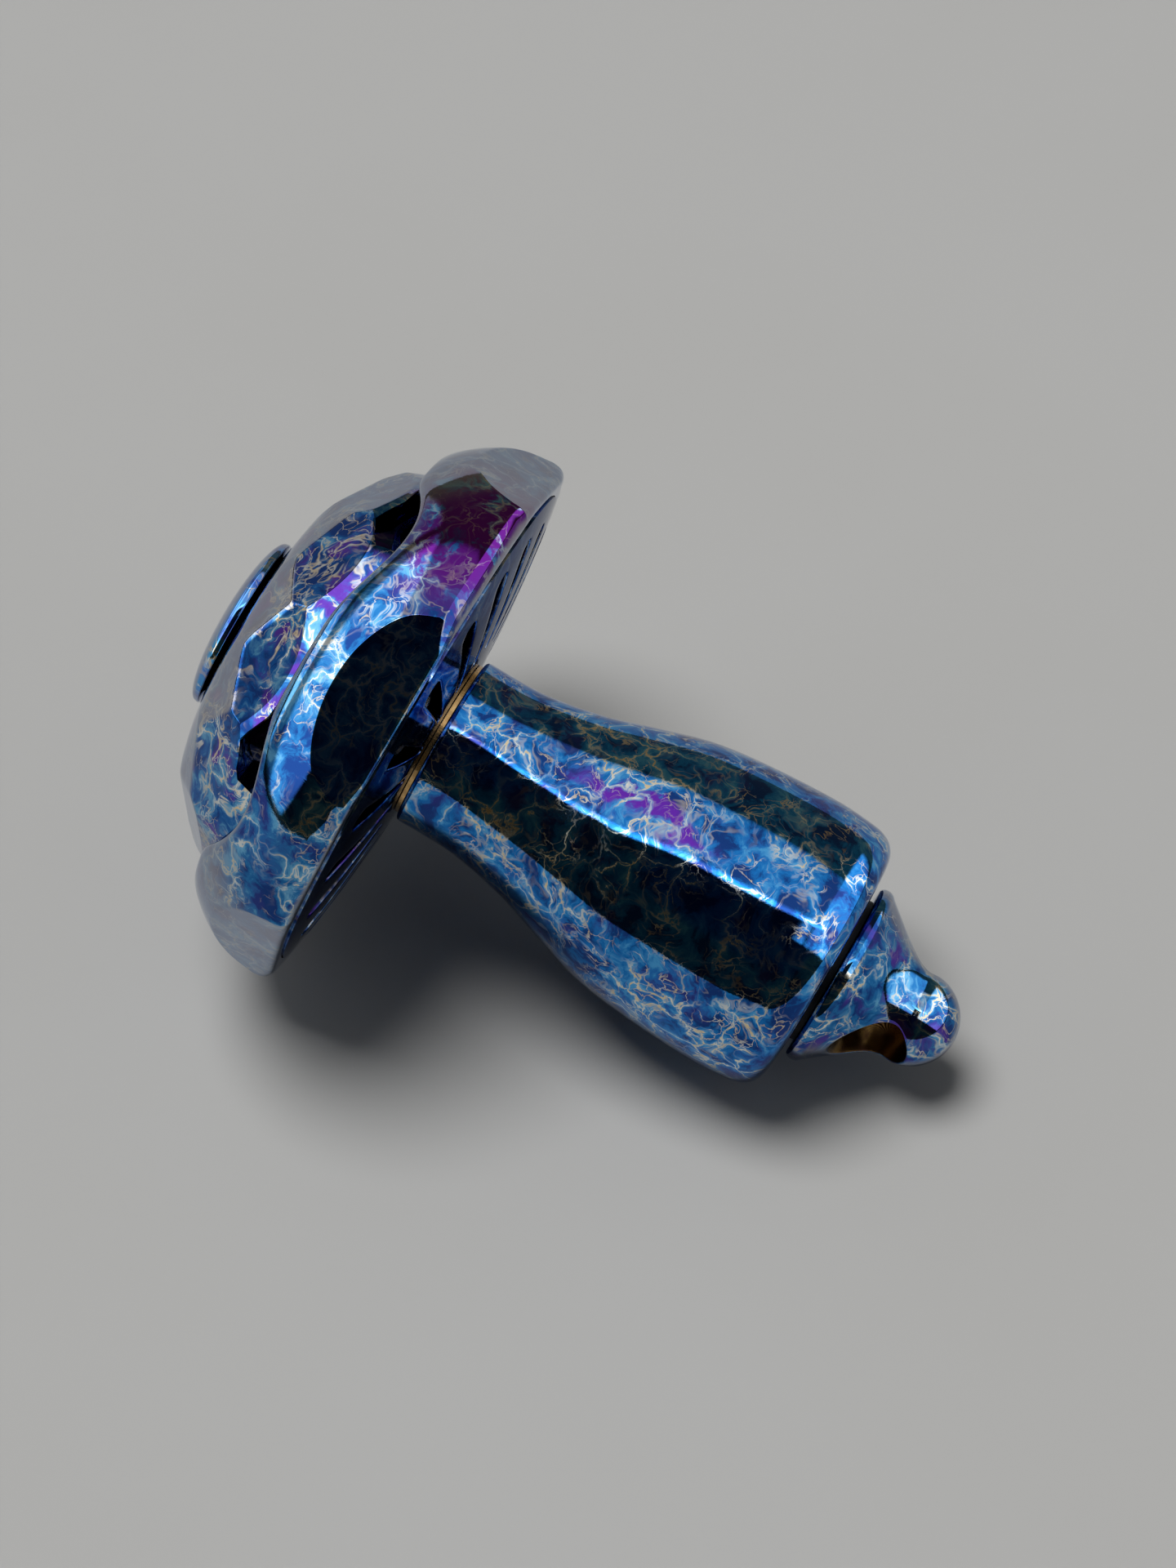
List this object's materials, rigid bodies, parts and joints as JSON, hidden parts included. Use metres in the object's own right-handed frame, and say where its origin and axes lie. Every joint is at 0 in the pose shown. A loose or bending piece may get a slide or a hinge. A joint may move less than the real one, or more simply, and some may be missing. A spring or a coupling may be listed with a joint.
{
  "type": "mushroom pocket spinner",
  "caption": "Mushroom-shaped pocket spinner in heat-coloured titanium: faceted cap on a bearing, hollow flared stem, swivelling tail knob with a cord hole.",
  "frame": {"origin": "on the turning axis, at the tip of the tail knob", "axes": "+Z along the turning axis from the tail knob to the crown button; the first lobe of the cap faces -Y"},
  "size_m": [0.0352, 0.0342, 0.0501],
  "materials": {
    "anodised_titanium": "mirror-polished titanium, heat-coloured blue and purple with branching cream veins",
    "dark_titanium": "mirror-polished titanium, dark blue-grey with few veins",
    "bare_titanium": "turned, uncoloured titanium",
    "bronze": "turned bronze",
    "bearing_steel": "ground bearing steel",
    "black_rubber": "matt black rubber"
  },
  "bodies": {
    "stem": {"stem_shell": "anodised_titanium", "stem_plug": "dark_titanium", "plug_o_ring": "black_rubber", "swivel_bush": "bronze", "neck_washer": "bronze", "axle_post": "bare_titanium", "crown_button": "anodised_titanium", "bearing_inner_race": "bearing_steel"},
    "cap": {"cap_hub": "bare_titanium", "skirt_ring": "anodised_titanium", "petal_dome": "anodised_titanium", "gill_plate": "dark_titanium", "bearing_outer_race": "bearing_steel", "bearing_shields": "bearing_steel", "bearing_retainer": "bare_titanium"},
    "cage": {"bearing_cage": "bearing_steel", "bearing_balls": "bearing_steel"},
    "tail": {"tail_knob": "anodised_titanium", "tail_seal": "black_rubber", "swivel_washer": "bronze", "swivel_nut": "bare_titanium"}
  },
  "joints": [
    {"name": "cap_spin", "type": "hinge", "parent": "stem", "child": "cap", "pos_m": [0, 0, 0.0402], "axis": [0, 0, 1], "continuous": true},
    {"name": "cage_turn", "type": "hinge", "parent": "stem", "child": "cage", "pos_m": [0, 0, 0.0402], "axis": [0, 0, 1], "continuous": true},
    {"name": "tail_swivel", "type": "hinge", "parent": "stem", "child": "tail", "pos_m": [0, 0, 0.0105], "axis": [0, 0, 1], "continuous": true}
  ],
  "couplings": [
    {"joint": "cage_turn", "follows": "cap_spin", "ratio": 0.5834}
  ]
}
